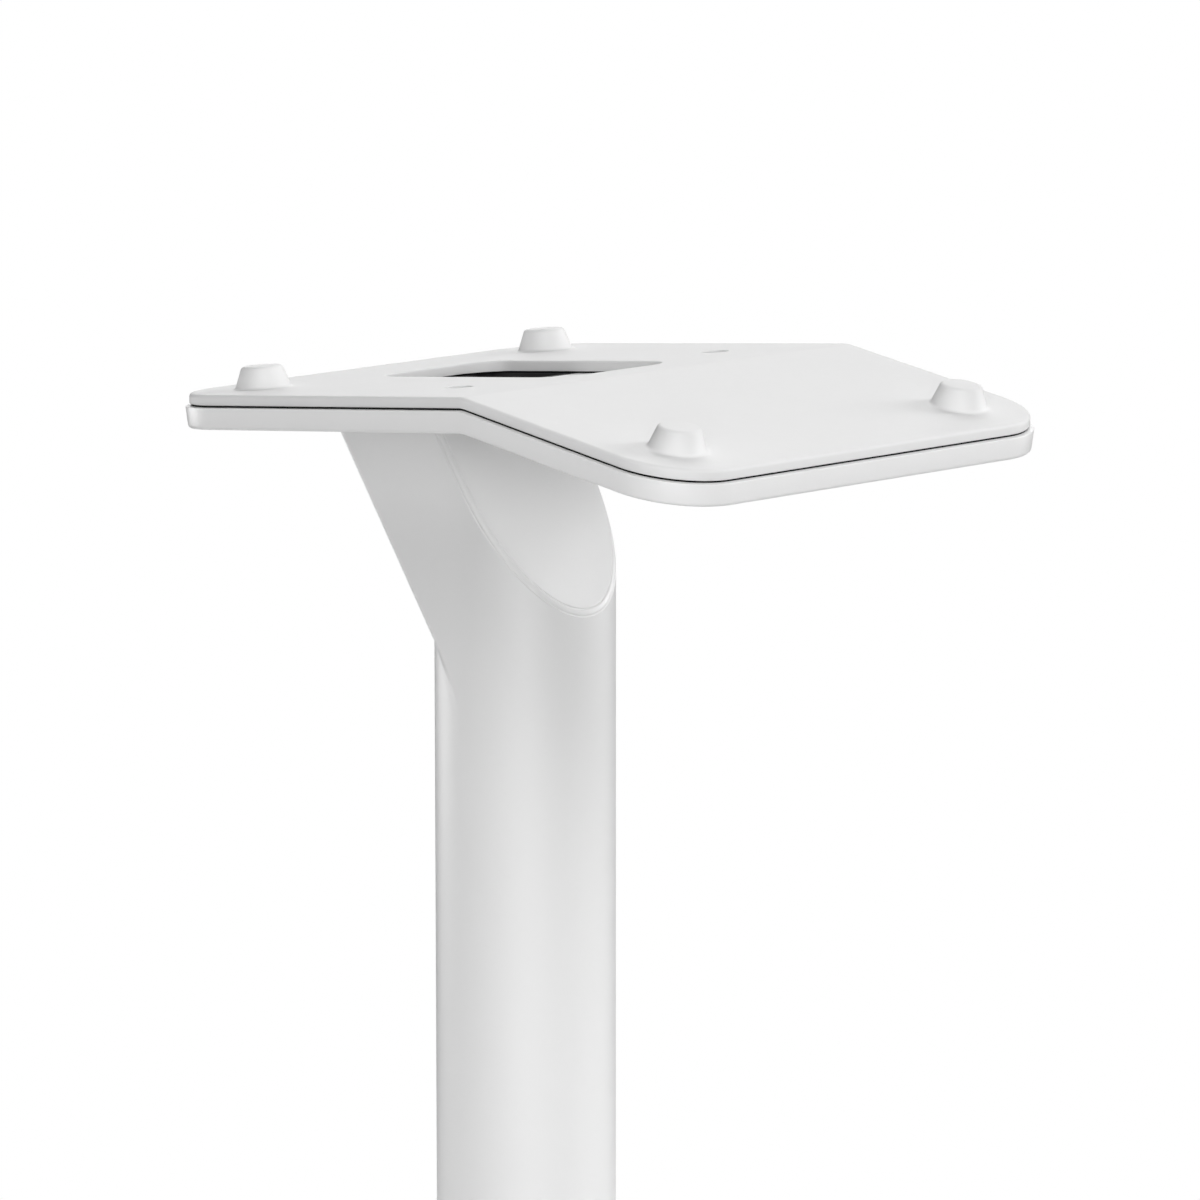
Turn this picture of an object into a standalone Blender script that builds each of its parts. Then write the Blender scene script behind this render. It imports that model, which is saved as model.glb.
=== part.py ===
"""Counter-top pole stand: a round pole on a weighted base carries a folded plate
with a soft pad, whose four studs locate a small device. Cables run down inside.

Units are metres, +Z is up and -Y is the front. The origin is the centre of the
underside of the rubber sheet below the base, on the pole's axis.
"""
from math import cos, pi, radians, sin, tan

import bmesh
import bpy
from mathutils import Matrix

# ---------------------------------------------------------------- driving dimensions
GAP = 0.0003                    # clearance kept between neighbouring pieces
FINE_GAP = 0.0001               # clearance on each side of the thin adhesive sheet

# Head: a plate folded along a ridge that runs in X
RIDGE_Z = 0.415                 # middle of the adhesive sheet, at the ridge
RIDGE_Y = -0.0469               # the ridge lies in front of the pole
REAR_FALL = radians(5.47)       # slope of the rear wing
FRONT_FALL = radians(9.0)       # slope of the front wing
PAD_HALF_WIDTH = 0.0667
PAD_FRONT_Y = -0.1169
PAD_REAR_Y = 0.0605
PAD_CORNER = 0.0185
PAD_THICKNESS = 0.00265
ADHESIVE_THICKNESS = 0.0003
ADHESIVE_INSET = 0.0005
PLATE_THICKNESS = 0.0055
PLATE_MARGIN = 0.00095          # the plate stands this far outside the pad

# Studs moulded with the pad
STUD_X = 0.0485
STUD_FRONT_Y = -0.0994
STUD_REAR_Y = 0.0418
STUD_BASE_RADIUS = 0.0070
STUD_TOP_RADIUS = 0.0052
STUD_HEIGHT = 0.0055
STUD_ROOT = 0.0010              # how far a stud reaches into the pad

# Openings in the head
SLOT_HALF_WIDTH = 0.0200        # cable slot in the pad
SLOT_FRONT_Y = -0.0333
SLOT_REAR_Y = 0.0346
SLOT_CORNER = 0.010
GROMMET_HALF_WIDTH = 0.0220     # liner in the plate's cable hole
GROMMET_FRONT_Y = 0.0026
GROMMET_REAR_Y = 0.0360
GROMMET_CORNER = 0.005
GROMMET_WALL = 0.0026
DEVICE_HOLE_X = 0.0440          # two screw holes for the device
DEVICE_HOLE_Y = -0.0228
DEVICE_HOLE_RADIUS_PAD = 0.0035
DEVICE_HOLE_RADIUS_PLATE = 0.00275

# Flange welded on the neck, screwed to the plate from above
FLANGE_HALF_WIDTH = 0.0330
FLANGE_FRONT_Y = -0.0080
FLANGE_REAR_Y = 0.0560
FLANGE_CORNER = 0.007
FLANGE_THICKNESS = 0.0030
FLANGE_HOLE_HALF_WIDTH = 0.0170
FLANGE_HOLE_FRONT_Y = 0.0120
FLANGE_HOLE_REAR_Y = 0.0400
PLATE_SCREW_X = 0.0275
PLATE_SCREW_YS = {"front": -0.0010, "rear": 0.0485}
PLATE_SCREW = {"head_radius": 0.0050, "head_depth": 0.0026, "shank_radius": 0.0025,
               "length": 0.0083}
PLATE_SCREW_SOCKET = 0.0016     # radius of the socket in the head

# Pole and oblique neck
POLE_RADIUS = 0.0225
WALL = 0.0025
FRONT_LEAN = radians(34.08)     # how far the oblique front face leans back from vertical
REAR_LEAN = radians(34.6)       # and the rear face
FRONT_CUT_Y = 0.01776           # where the front face's plane meets the ridge level
REAR_CUT_Y = 0.05698            # where the rear face's plane meets the ridge level

# Base
SHEET_RADIUS = 0.0960
SHEET_THICKNESS = 0.0020
BASE_RADIUS = 0.1000
BASE_THICKNESS = 0.0080
BASE_EDGE = 0.0015
PLUG_HEIGHT = 0.0240
FOOT_BOLT_CIRCLE = 0.0125       # radius of the four bolts' circle
FOOT_BOLT = {"head_radius": 0.0060, "head_depth": 0.0033, "shank_radius": 0.0030,
             "length": 0.0200}
FOOT_BOLT_SOCKET = 0.0022
SOCKET_DEPTH = 0.7              # of a countersunk head's depth
EXIT_HEIGHT = 0.0560            # middle of the cable exit in the pole's back
EXIT_HALF_WIDTH = 0.0065
EXIT_HALF_HEIGHT = 0.0105
EXIT_SLEEVE_WALL = 0.0015
EXIT_SLEEVE_START = 0.0180      # the sleeve's reach in Y, from inside the bore ...
EXIT_SLEEVE_END = 0.0240        # ... to just outside the pole
EXIT_CUT_START = 0.0100         # cutters through the pole's back run from here to here
EXIT_CUT_END = 0.0400

ROUND_STEPS = 64                # facets on a full turn of a large round piece
SMALL_STEPS = 24                # the same on studs, screws and small holes
CORNER_STEPS = 6                # facets on a quarter turn of an outline's corner
REACH = 0.075                   # how far cutters run past the pieces that they cut
HEAD_DEPTH = 0.04               # cutters through the head start this far below the ridge
NECK_DEPTH = 0.15               # and those along the neck this far

# Sizes that follow from those above
BASE_BOTTOM = SHEET_THICKNESS + GAP
BASE_TOP = BASE_BOTTOM + BASE_THICKNESS
STUD_SLOPE = (STUD_BASE_RADIUS - STUD_TOP_RADIUS) / STUD_HEIGHT
PAD_UNDERSIDE = ADHESIVE_THICKNESS / 2 + FINE_GAP
PLATE_TOP = -PAD_UNDERSIDE
FLANGE_TOP = PLATE_TOP - PLATE_THICKNESS - GAP
FLANGE_UNDERSIDE = FLANGE_TOP - FLANGE_THICKNESS

# The neck's oblique planes: where each meets the ridge level, and its lean
FRONT_FACE = (FRONT_CUT_Y, FRONT_LEAN)
FRONT_FACE_INSIDE = (FRONT_CUT_Y + WALL / cos(FRONT_LEAN), FRONT_LEAN)
REAR_FACE = (REAR_CUT_Y, REAR_LEAN)
REAR_FACE_INSIDE = (REAR_CUT_Y - WALL / cos(REAR_LEAN), REAR_LEAN)
REAR_FACE_CLEARANCE = (REAR_CUT_Y + GAP, REAR_LEAN)


# ---------------------------------------------------------------- scene and materials
def clear_scene():
    for old in list(bpy.data.objects):
        bpy.data.objects.remove(old, do_unlink=True)


def new_collection(name):
    collection = bpy.data.collections.new(name)
    bpy.context.scene.collection.children.link(collection)
    return collection


def make_material(name, colour, roughness, metallic=0.0):
    material = bpy.data.materials.new(name)
    material.use_nodes = True
    shader = material.node_tree.nodes["Principled BSDF"]
    shader.inputs["Base Color"].default_value = (*colour, 1.0)
    shader.inputs["Roughness"].default_value = roughness
    shader.inputs["Metallic"].default_value = metallic
    material.diffuse_color = (*colour, 1.0)
    return material


def link(obj, collection, material=None):
    collection.objects.link(obj)
    if material is not None:
        obj.data.materials.clear()
        obj.data.materials.append(material)
    return obj


def make_cutter(obj):
    link(obj, CUTTERS)
    obj.hide_render = True
    obj.display_type = "WIRE"
    return obj


# ---------------------------------------------------------------- shapes
def rounded_outline(half_width, y_front, y_rear, radius, steps=CORNER_STEPS):
    """Corner arcs of a rounded rectangle, anticlockwise."""
    points = []
    corners = (
        (half_width - radius, y_rear - radius, 0),
        (-half_width + radius, y_rear - radius, 90),
        (-half_width + radius, y_front + radius, 180),
        (half_width - radius, y_front + radius, 270),
    )
    for centre_x, centre_y, start in corners:
        for step in range(steps + 1):
            angle = radians(start + 90 * step / steps)
            points.append((centre_x + radius * cos(angle), centre_y + radius * sin(angle)))
    return points


def stadium_outline(half_width, half_height):
    return rounded_outline(half_width, -half_height, half_height, half_width - FINE_GAP / 10)


def neck_section(radius, depth):
    """Half a circle in front of the pole's axis, and straight sides that run back."""
    half = ROUND_STEPS // 2
    points = [(radius * cos(pi + pi * step / half), radius * sin(pi + pi * step / half))
              for step in range(half + 1)]
    return points + [(radius, depth), (-radius, depth)]


def extrude_outline(name, points, depth):
    """A flat outline as a filled 2D curve, extruded both ways by half its depth, as a mesh."""
    curve = bpy.data.curves.new(name, "CURVE")
    curve.dimensions = "2D"
    curve.fill_mode = "BOTH"
    curve.extrude = depth / 2
    spline = curve.splines.new("POLY")
    spline.points.add(len(points) - 1)
    for point, (x, y) in zip(spline.points, points):
        point.co = (x, y, 0.0, 1.0)
    spline.use_cyclic_u = True
    source = bpy.data.objects.new(name, curve)
    bpy.context.scene.collection.objects.link(source)
    bpy.context.view_layer.update()
    evaluated = source.evaluated_get(bpy.context.evaluated_depsgraph_get())
    mesh = bpy.data.meshes.new_from_object(evaluated)
    mesh.name = name
    bpy.data.objects.remove(source, do_unlink=True)
    bpy.data.curves.remove(curve)
    shape = bmesh.new()
    shape.from_mesh(mesh)
    bmesh.ops.remove_doubles(shape, verts=shape.verts, dist=0.000001)
    bmesh.ops.recalc_face_normals(shape, faces=shape.faces)
    shape.to_mesh(mesh)
    shape.free()
    return bpy.data.objects.new(name, mesh)


def upright_prism(name, points, bottom, top):
    """An outline in X and Y, standing between two heights."""
    prism = extrude_outline(name, points, top - bottom)
    prism.data.transform(Matrix.Translation((0, 0, (bottom + top) / 2)))
    return prism


def side_prism(name, points, x_low, x_high):
    """An outline in Y and Z, extruded along X."""
    prism = extrude_outline(name, points, x_high - x_low)
    turn = Matrix(((0, 0, 1, (x_low + x_high) / 2), (1, 0, 0, 0), (0, 1, 0, 0), (0, 0, 0, 1)))
    prism.data.transform(turn)
    return prism


def cylinder(name, radius, bottom, top, steps=ROUND_STEPS, top_radius=None):
    shape = bmesh.new()
    bmesh.ops.create_cone(
        shape, cap_ends=True, segments=steps, radius1=radius,
        radius2=radius if top_radius is None else top_radius, depth=top - bottom,
        matrix=Matrix.Translation((0, 0, (bottom + top) / 2)))
    mesh = bpy.data.meshes.new(name)
    shape.to_mesh(mesh)
    shape.free()
    return bpy.data.objects.new(name, mesh)


def turned(name, profile, steps):
    """A profile of (radius, height) points, top to bottom, spun about Z by a Screw modifier."""
    shape = bmesh.new()
    points = [shape.verts.new((radius, 0, height)) for radius, height in profile]
    for upper, lower in zip(points, points[1:]):
        shape.edges.new((upper, lower))
    mesh = bpy.data.meshes.new(name)
    shape.to_mesh(mesh)
    shape.free()
    obj = bpy.data.objects.new(name, mesh)
    spin = obj.modifiers.new("spin", "SCREW")
    spin.steps = steps
    spin.render_steps = steps
    spin.use_merge_vertices = True
    spin.merge_threshold = 0.000001
    return obj


def screw_profile(head_radius, head_depth, shank_radius, length, socket_radius=0.0, grow=0.0):
    """A countersunk screw, head up and its top at height 0. Grow makes its clearance hole."""
    profile = []
    if socket_radius:
        floor = -head_depth * SOCKET_DEPTH
        profile += [(0, floor), (socket_radius, floor), (socket_radius, 0)]
    else:
        profile += [(0, head_depth), (head_radius + grow, head_depth)]
    profile += [(head_radius + grow, 0), (shank_radius + grow, -head_depth),
                (shank_radius + grow, -length - grow), (0, -length - grow)]
    return profile


def boolean(obj, other, operation="DIFFERENCE"):
    modifier = obj.modifiers.new(operation.lower(), "BOOLEAN")
    modifier.operation = operation
    modifier.solver = "EXACT"
    modifier.object = other


def shade_smooth(obj, angle=30):
    obj.data.shade_smooth()
    obj.data.set_sharp_from_angle(angle=radians(angle))


# ---------------------------------------------------------------- the folded head
def wing_height(y, above=0.0):
    """Height of the fold's middle surface at y, plus an offset."""
    if y > RIDGE_Y:
        return RIDGE_Z - (y - RIDGE_Y) * tan(REAR_FALL) + above
    return RIDGE_Z - (RIDGE_Y - y) * tan(FRONT_FALL) + above


def wing_turn(y):
    """Turn about X that sets a piece square to the wing at y."""
    return -REAR_FALL if y > RIDGE_Y else FRONT_FALL


def on_wing(obj, x, y, above):
    obj.location = (x, y, wing_height(y, above))
    obj.rotation_euler = (wing_turn(y), 0, 0)
    return obj


def fold(obj):
    """Crease a flat piece at the ridge and lower both wings onto their slopes."""
    shape = bmesh.new()
    shape.from_mesh(obj.data)
    everything = shape.verts[:] + shape.edges[:] + shape.faces[:]
    bmesh.ops.bisect_plane(shape, geom=everything, dist=0.000001,
                           plane_co=(0, RIDGE_Y, 0), plane_no=(0, 1, 0))
    for vertex in shape.verts:
        vertex.co.z += wing_height(vertex.co.y)
    bmesh.ops.recalc_face_normals(shape, faces=shape.faces)
    shape.to_mesh(obj.data)
    shape.free()
    return obj


def pad_outline(margin):
    return rounded_outline(PAD_HALF_WIDTH + margin, PAD_FRONT_Y - margin,
                           PAD_REAR_Y + margin, PAD_CORNER + margin)


def slot_cutter(name, margin):
    points = rounded_outline(SLOT_HALF_WIDTH + margin, SLOT_FRONT_Y - margin,
                             SLOT_REAR_Y + margin, SLOT_CORNER)
    return make_cutter(upright_prism(name, points, RIDGE_Z - HEAD_DEPTH, RIDGE_Z + HEAD_DEPTH))


def device_hole_cutters(name, radius):
    holes = []
    for side in (-1, 1):
        hole = cylinder(f"{name}_{side}", radius, -HEAD_DEPTH / 2, HEAD_DEPTH / 2, SMALL_STEPS)
        holes.append(make_cutter(on_wing(hole, side * DEVICE_HOLE_X, DEVICE_HOLE_Y, 0)))
    return holes


def make_device_pad():
    pad = fold(upright_prism("device_pad", pad_outline(0), PAD_UNDERSIDE,
                             PAD_UNDERSIDE + PAD_THICKNESS))
    link(pad, PARTS, SILICONE)
    for side in (-1, 1):
        for y in (STUD_FRONT_Y, STUD_REAR_Y):
            stud = cylinder(f"stud_{side}_{y}", STUD_BASE_RADIUS + STUD_ROOT * STUD_SLOPE,
                            -STUD_ROOT, STUD_HEIGHT, SMALL_STEPS, STUD_TOP_RADIUS)
            on_wing(stud, side * STUD_X, y, PAD_UNDERSIDE + PAD_THICKNESS)
            boolean(pad, make_cutter(stud), "UNION")
    boolean(pad, slot_cutter("pad_slot", 0))
    for hole in device_hole_cutters("pad_hole", DEVICE_HOLE_RADIUS_PAD):
        boolean(pad, hole)


def make_pad_adhesive():
    sheet = fold(upright_prism("pad_adhesive", pad_outline(-ADHESIVE_INSET),
                               -ADHESIVE_THICKNESS / 2, ADHESIVE_THICKNESS / 2))
    link(sheet, PARTS, BLACK_FOAM)
    boolean(sheet, slot_cutter("adhesive_slot", ADHESIVE_INSET))
    for hole in device_hole_cutters("adhesive_hole", DEVICE_HOLE_RADIUS_PAD + ADHESIVE_INSET):
        boolean(sheet, hole)


def make_top_plate():
    plate = fold(upright_prism("top_plate", pad_outline(PLATE_MARGIN),
                               PLATE_TOP - PLATE_THICKNESS, PLATE_TOP))
    link(plate, PARTS, WHITE_POWDER_COAT)
    points = rounded_outline(GROMMET_HALF_WIDTH + GAP, GROMMET_FRONT_Y - GAP,
                             GROMMET_REAR_Y + GAP, GROMMET_CORNER + GAP)
    boolean(plate, make_cutter(upright_prism("plate_cable_hole", points,
                                             RIDGE_Z - HEAD_DEPTH, RIDGE_Z + HEAD_DEPTH)))
    for hole in device_hole_cutters("plate_hole", DEVICE_HOLE_RADIUS_PLATE):
        boolean(plate, hole)
    return plate


def make_entry_grommet():
    outer = rounded_outline(GROMMET_HALF_WIDTH, GROMMET_FRONT_Y, GROMMET_REAR_Y, GROMMET_CORNER)
    grommet = fold(upright_prism("entry_grommet", outer, PLATE_TOP - PLATE_THICKNESS, PLATE_TOP))
    link(grommet, PARTS, BLACK_RUBBER)
    inner = rounded_outline(GROMMET_HALF_WIDTH - GROMMET_WALL, GROMMET_FRONT_Y + GROMMET_WALL,
                            GROMMET_REAR_Y - GROMMET_WALL, GROMMET_CORNER - GROMMET_WALL)
    boolean(grommet, make_cutter(upright_prism("grommet_passage", inner,
                                               RIDGE_Z - HEAD_DEPTH, RIDGE_Z + HEAD_DEPTH)))


def make_neck_flange():
    outline = rounded_outline(FLANGE_HALF_WIDTH, FLANGE_FRONT_Y, FLANGE_REAR_Y, FLANGE_CORNER)
    flange = fold(upright_prism("neck_flange", outline, FLANGE_UNDERSIDE, FLANGE_TOP))
    link(flange, PARTS, WHITE_POWDER_COAT)
    hole = rounded_outline(FLANGE_HOLE_HALF_WIDTH, FLANGE_HOLE_FRONT_Y, FLANGE_HOLE_REAR_Y,
                           GROMMET_CORNER)
    boolean(flange, make_cutter(upright_prism("flange_cable_hole", hole,
                                              RIDGE_Z - HEAD_DEPTH, RIDGE_Z + HEAD_DEPTH)))
    return flange


def make_plate_screws(plate, flange):
    for side, label in ((-1, "left"), (1, "right")):
        for place, y in PLATE_SCREW_YS.items():
            name = f"plate_screw_{place}_{label}"
            profile = screw_profile(**PLATE_SCREW, socket_radius=PLATE_SCREW_SOCKET)
            screw = turned(name, profile, SMALL_STEPS)
            link(on_wing(screw, side * PLATE_SCREW_X, y, PLATE_TOP - GAP), PARTS, BLACK_STEEL)
            hole = turned(name + "_hole", screw_profile(**PLATE_SCREW, grow=GAP), SMALL_STEPS)
            make_cutter(on_wing(hole, side * PLATE_SCREW_X, y, PLATE_TOP - GAP))
            boolean(plate, hole)
            boolean(flange, hole)


# ---------------------------------------------------------------- the oblique neck
def lean_line(plane, z):
    """Y of an oblique plane at height z."""
    cut_y, lean = plane
    return cut_y + (z - RIDGE_Z) * tan(lean)


def lean_height(plane, y):
    """Height at which an oblique plane passes y."""
    cut_y, lean = plane
    return RIDGE_Z + (y - cut_y) / tan(lean)


def under_flange(plane):
    """Point in Y and Z where an oblique plane meets the flange's underside."""
    cut_y, lean = plane
    start = wing_height(0, FLANGE_UNDERSIDE - GAP)
    z = (start - (cut_y - RIDGE_Z * tan(lean)) * tan(REAR_FALL)) \
        / (1 + tan(lean) * tan(REAR_FALL))
    return lean_line(plane, z), z


def make_neck_cheeks():
    points = [
        (GAP, lean_height(REAR_FACE, GAP)),
        under_flange(REAR_FACE),
        under_flange(FRONT_FACE),
        (GAP, lean_height(FRONT_FACE, GAP)),
    ]
    for name, x_low in (("neck_cheek_left", -POLE_RADIUS),
                        ("neck_cheek_right", POLE_RADIUS - WALL)):
        link(side_prism(name, points, x_low, x_low + WALL), PARTS, WHITE_POWDER_COAT)


def make_neck_rear_wall():
    lowest_y = 2 * WALL             # inside the trimming cylinder over the wall's whole width
    half_width = POLE_RADIUS - WALL - GAP
    points = [
        (lowest_y, lean_height(REAR_FACE, lowest_y)),
        under_flange(REAR_FACE),
        under_flange(REAR_FACE_INSIDE),
        (lowest_y, lean_height(REAR_FACE_INSIDE, lowest_y)),
    ]
    wall = link(side_prism("neck_rear_wall", points, -half_width, half_width),
                PARTS, WHITE_POWDER_COAT)
    boolean(wall, make_cutter(cylinder("rear_wall_trim", POLE_RADIUS + GAP,
                                       RIDGE_Z - NECK_DEPTH, RIDGE_Z + HEAD_DEPTH)))


def make_neck_front_wall():
    points = [
        (-POLE_RADIUS, lean_height(FRONT_FACE, -POLE_RADIUS)),
        (-POLE_RADIUS, lean_height(FRONT_FACE_INSIDE, -POLE_RADIUS)),
        under_flange(FRONT_FACE_INSIDE),
        under_flange(FRONT_FACE),
    ]
    wall = link(side_prism("neck_front_wall", points, -POLE_RADIUS, POLE_RADIUS),
                PARTS, WHITE_POWDER_COAT)
    section = neck_section(POLE_RADIUS - WALL - GAP, REAR_CUT_Y)
    bore = upright_prism("neck_bore", section, RIDGE_Z - NECK_DEPTH, RIDGE_Z + HEAD_DEPTH)
    boolean(wall, make_cutter(bore), "INTERSECT")


def make_pole_tube():
    tube = cylinder("pole_tube", POLE_RADIUS, BASE_TOP + GAP, RIDGE_Z)
    link(tube, PARTS, WHITE_POWDER_COAT)
    high = RIDGE_Z + HEAD_DEPTH
    low = RIDGE_Z - NECK_DEPTH
    boolean(tube, make_cutter(cylinder("pole_bore", POLE_RADIUS - WALL, 0, high)))
    above_front_face = [
        (lean_line(FRONT_FACE, low), low),
        (lean_line(FRONT_FACE, high), high),
        (-2 * REACH, high),
        (-2 * REACH, low),
    ]
    boolean(tube, make_cutter(side_prism("front_cut", above_front_face, -REACH, REACH)))
    gusset_space = [
        (0, lean_height(REAR_FACE_CLEARANCE, 0)),
        (lean_line(REAR_FACE_CLEARANCE, high), high),
        (0, high),
    ]
    boolean(tube, make_cutter(side_prism("gusset_space", gusset_space, -REACH, REACH)))
    return tube


# ---------------------------------------------------------------- base and cable exit
def exit_prism(name, half_width, half_height, y_low, y_high):
    """A stadium that lies along Y, through the pole's back."""
    prism = upright_prism(name, stadium_outline(half_width, half_height), -y_high, -y_low)
    prism.data.transform(Matrix.Rotation(pi / 2, 4, "X"))
    prism.data.transform(Matrix.Translation((0, 0, EXIT_HEIGHT)))
    return prism


def make_exit_grommet(tube):
    boolean(tube, make_cutter(exit_prism("exit_hole", EXIT_HALF_WIDTH + GAP,
                                         EXIT_HALF_HEIGHT + GAP, EXIT_CUT_START, EXIT_CUT_END)))
    sleeve = exit_prism("exit_grommet", EXIT_HALF_WIDTH, EXIT_HALF_HEIGHT,
                        EXIT_SLEEVE_START, EXIT_SLEEVE_END)
    link(sleeve, PARTS, BLACK_RUBBER)
    passage = exit_prism("exit_passage", EXIT_HALF_WIDTH - EXIT_SLEEVE_WALL,
                         EXIT_HALF_HEIGHT - EXIT_SLEEVE_WALL, EXIT_CUT_START, EXIT_CUT_END)
    boolean(sleeve, make_cutter(passage))


def make_base_plate():
    top, bottom = BASE_TOP, BASE_BOTTOM
    profile = [
        (0, top), (BASE_RADIUS - BASE_EDGE, top), (BASE_RADIUS, top - BASE_EDGE),
        (BASE_RADIUS, bottom + BASE_EDGE / 2), (BASE_RADIUS - BASE_EDGE / 2, bottom), (0, bottom),
    ]
    return link(turned("base_plate", profile, ROUND_STEPS), PARTS, WHITE_POWDER_COAT)


def make_foot_plug():
    bottom = BASE_TOP + GAP
    plug = cylinder("foot_plug", POLE_RADIUS - WALL - GAP, bottom, bottom + PLUG_HEIGHT)
    return link(plug, PARTS, STEEL)


def make_foot_bolts(base, plug):
    for number in range(4):
        angle = pi / 4 + number * pi / 2
        place = (FOOT_BOLT_CIRCLE * cos(angle), FOOT_BOLT_CIRCLE * sin(angle), BASE_BOTTOM + GAP)
        bolt = turned(f"foot_bolt_{number + 1}",
                      screw_profile(**FOOT_BOLT, socket_radius=FOOT_BOLT_SOCKET), SMALL_STEPS)
        hole = turned(f"foot_bolt_hole_{number + 1}", screw_profile(**FOOT_BOLT, grow=GAP),
                      SMALL_STEPS)
        for piece in (bolt, hole):
            piece.location = place
            piece.rotation_euler = (pi, 0, 0)
        link(bolt, PARTS, STEEL)
        make_cutter(hole)
        boolean(base, hole)
        boolean(plug, hole)


def make_base_sheet():
    sheet = cylinder("base_sheet", SHEET_RADIUS, 0, SHEET_THICKNESS)
    link(sheet, PARTS, BLACK_RUBBER)


# ---------------------------------------------------------------- assembly
clear_scene()
PARTS = new_collection("counter_pole_stand")
CUTTERS = new_collection("cutters")
WHITE_POWDER_COAT = make_material("white_powder_coat", (0.80, 0.80, 0.79), 0.55)
SILICONE = make_material("off_white_silicone", (0.82, 0.82, 0.81), 0.70)
BLACK_FOAM = make_material("black_foam_tape", (0.01, 0.01, 0.01), 0.90)
BLACK_RUBBER = make_material("black_rubber", (0.02, 0.02, 0.02), 0.75)
BLACK_STEEL = make_material("blackened_steel", (0.05, 0.05, 0.05), 0.45, 1.0)
STEEL = make_material("plain_steel", (0.55, 0.55, 0.54), 0.40, 1.0)

make_device_pad()
make_pad_adhesive()
top_plate = make_top_plate()
make_entry_grommet()
neck_flange = make_neck_flange()
make_plate_screws(top_plate, neck_flange)
make_neck_cheeks()
make_neck_rear_wall()
make_neck_front_wall()
pole_tube = make_pole_tube()
make_exit_grommet(pole_tube)
base_plate = make_base_plate()
foot_plug = make_foot_plug()
make_foot_bolts(base_plate, foot_plug)
make_base_sheet()
for part in PARTS.objects:
    shade_smooth(part)
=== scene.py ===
"""The looks of a counter-top pole stand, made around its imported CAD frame.

Units are metres, +Z is up and -Y is the front. The head is drawn flat first: its X and Y are the
stand's own, and its heights count from the middle of the adhesive sheet. fold_point() then lowers
both wings onto their slopes.
"""

from math import atan2, cos, exp, hypot, pi, radians, sin, sqrt, tan

import bmesh
import bpy
from mathutils import Matrix, Vector


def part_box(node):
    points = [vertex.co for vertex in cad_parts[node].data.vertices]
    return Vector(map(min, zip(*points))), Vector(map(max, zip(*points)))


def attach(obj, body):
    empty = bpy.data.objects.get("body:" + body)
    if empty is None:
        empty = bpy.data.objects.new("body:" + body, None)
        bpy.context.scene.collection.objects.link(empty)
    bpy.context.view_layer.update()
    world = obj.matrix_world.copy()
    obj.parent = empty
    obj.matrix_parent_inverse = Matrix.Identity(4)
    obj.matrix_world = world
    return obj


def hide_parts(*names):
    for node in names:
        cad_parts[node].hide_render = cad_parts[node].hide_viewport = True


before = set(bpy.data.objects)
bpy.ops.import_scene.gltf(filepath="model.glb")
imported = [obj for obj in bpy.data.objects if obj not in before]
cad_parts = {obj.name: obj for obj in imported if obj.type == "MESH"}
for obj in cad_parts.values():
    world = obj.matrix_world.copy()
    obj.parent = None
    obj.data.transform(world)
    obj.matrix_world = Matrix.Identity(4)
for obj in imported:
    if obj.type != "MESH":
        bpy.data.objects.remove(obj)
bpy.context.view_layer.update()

# ---------------------------------------------------------------- sizes of the head
ADHESIVE_THICKNESS = 0.0003
ADHESIVE_INSET = 0.0005         # it keeps back this far from the pad's edges
ADHESIVE_GAP = 0.00002          # and this far from its underside and the plate
ADHESIVE_EDGE = 0.00005
RIDGE_Y = -0.0469
RIDGE_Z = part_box("pad_adhesive")[1].z - ADHESIVE_THICKNESS / 2
RIDGE_ROUND = 0.0012            # the crease is rounded this far to each side
RIDGE_CUTS = (-1.5, -1, -0.5, 0, 0.5, 1, 1.5)       # rows of points across it, in that length
REAR_FALL = radians(5.47)
FRONT_FALL = radians(9.0)

PAD_LOW, PAD_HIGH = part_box("device_pad")
PAD_BOTTOM = 0.00025
PAD_TOP = 0.00290
PAD_CORNER = 0.0185
PAD_EDGE = 0.0009
SLOT = (0.0200, -0.0333, 0.0346, 0.010)             # half width, front, rear and corner radius
SLOT_EDGE = 0.0005
DEVICE_HOLES = ((-0.0440, -0.0228), (0.0440, -0.0228))
PAD_HOLE_RADIUS = 0.0035
PLATE_HOLE_RADIUS = 0.00275
SMALL_EDGE = 0.0003
FINE_EDGE = SMALL_EDGE / 3

STUDS = tuple((x, y) for x in (-0.0485, 0.0485) for y in (-0.0994, 0.0418))
STUD_BASE_RADIUS = 0.0067
STUD_TOP_RADIUS = 0.0050
STUD_HEIGHT = 0.0055
STUD_ROOT = 0.0010              # fillet where a stud grows from the pad
STUD_EDGE = 0.0011
STUD_EDGE_PROUD = 0.3           # share of that edge which lies outside the top radius
STUD_DRAFT = 21                 # degrees that a stud's side leans in

PLATE_TOP = -0.00025
PLATE_THICKNESS = 0.0055
PLATE_BOTTOM = PLATE_TOP - PLATE_THICKNESS
PLATE_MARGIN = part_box("top_plate")[1].x - PAD_HIGH.x
PLATE_FOOT_MARGIN = 0.0004      # the plate's sides taper in to this at its underside
PLATE_EDGE = 0.0010
GROMMET = (0.0220, 0.0026, 0.0360, 0.005)           # outlines, in the order of the slot's
GROMMET_WALL = 0.0026
GROMMET_EDGE = 0.0008
FLANGE = (0.0330, -0.0080, 0.0560, 0.007)
FLANGE_HOLE = (0.0170, 0.0120, 0.0400, 0.005)
FLANGE_TOP = PLATE_BOTTOM - 0.0003
FLANGE_BOTTOM = FLANGE_TOP - 0.0030
FLANGE_EDGE = 0.0006
PLATE_SCREWS = tuple((x, y) for x in (-0.0275, 0.0275) for y in (-0.0010, 0.0485))
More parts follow.
